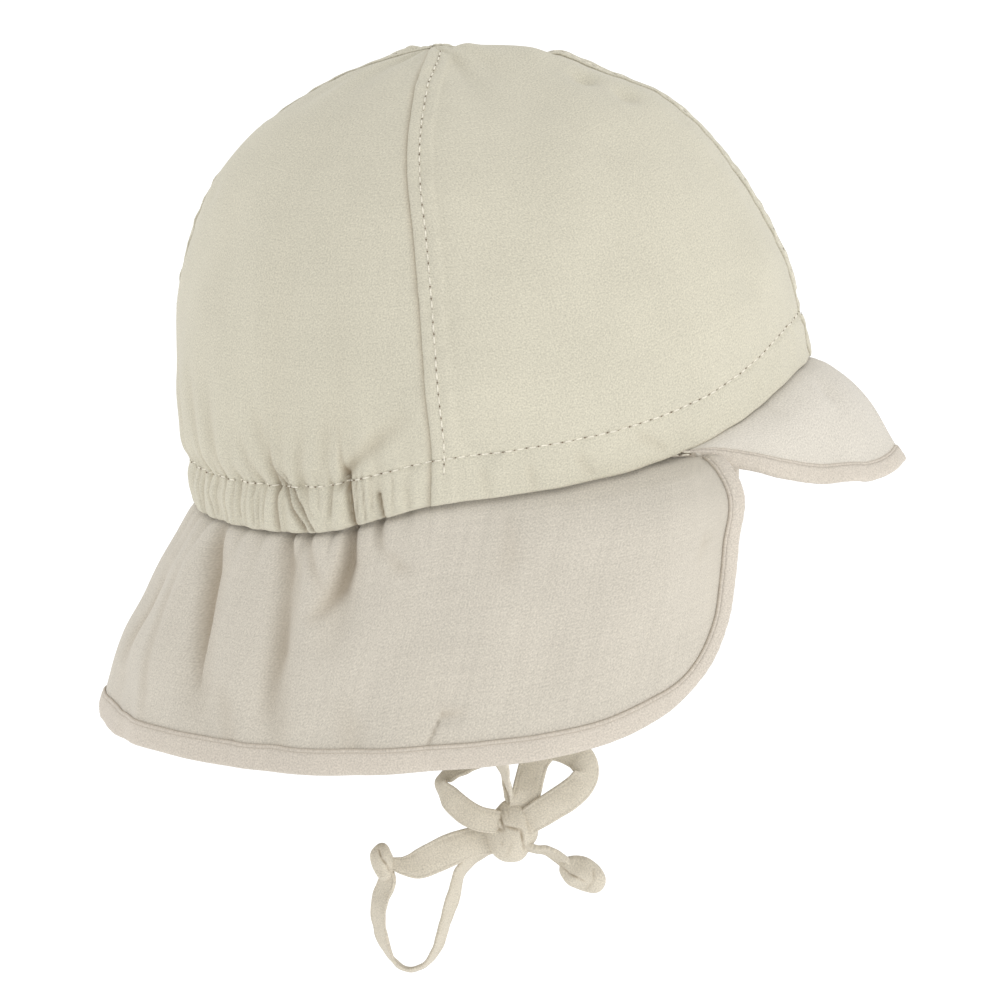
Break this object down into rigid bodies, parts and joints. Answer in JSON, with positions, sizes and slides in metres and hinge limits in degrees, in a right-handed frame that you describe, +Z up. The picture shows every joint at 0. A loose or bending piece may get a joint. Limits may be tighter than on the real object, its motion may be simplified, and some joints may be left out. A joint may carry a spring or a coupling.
{
  "type": "legionnaire cap",
  "caption": "Small child's cream cotton legionnaire cap: gathered panelled crown, soft short peak, long bound neck flap and flat chin ties knotted in a bow.",
  "frame": {"origin": "centre of the head opening, where the cap sits on a head", "axes": "+Z up as worn, the peak points to -Y, the neck flap hangs at +Y, the wearer's right side is at -X"},
  "size_m": [0.1526, 0.2121, 0.2472],
  "materials": {
    "crown_cotton": "cream cotton twill, matt",
    "flap_cotton": "cream cotton twill, matt",
    "binding_cotton": "cream cotton bias binding, matt",
    "tie_cotton": "cream cotton tie, matt"
  },
  "bodies": {
    "root": {"crown_panel_front_right": "crown_cotton", "crown_panel_front_left": "crown_cotton", "crown_panel_back_right": "crown_cotton", "crown_panel_back_left": "crown_cotton", "neck_flap": "flap_cotton", "flap_binding": "binding_cotton", "peak": "crown_cotton", "peak_binding": "binding_cotton", "bow_knot": "tie_cotton", "end_knot_left": "tie_cotton", "end_knot_right": "tie_cotton", "bow_loop_left": "tie_cotton", "bow_loop_right": "tie_cotton", "tail_left": "tie_cotton", "tail_left_return": "tie_cotton", "tail_right": "tie_cotton", "tie_right": "tie_cotton", "tie_left": "tie_cotton"}
  },
  "joints": []
}
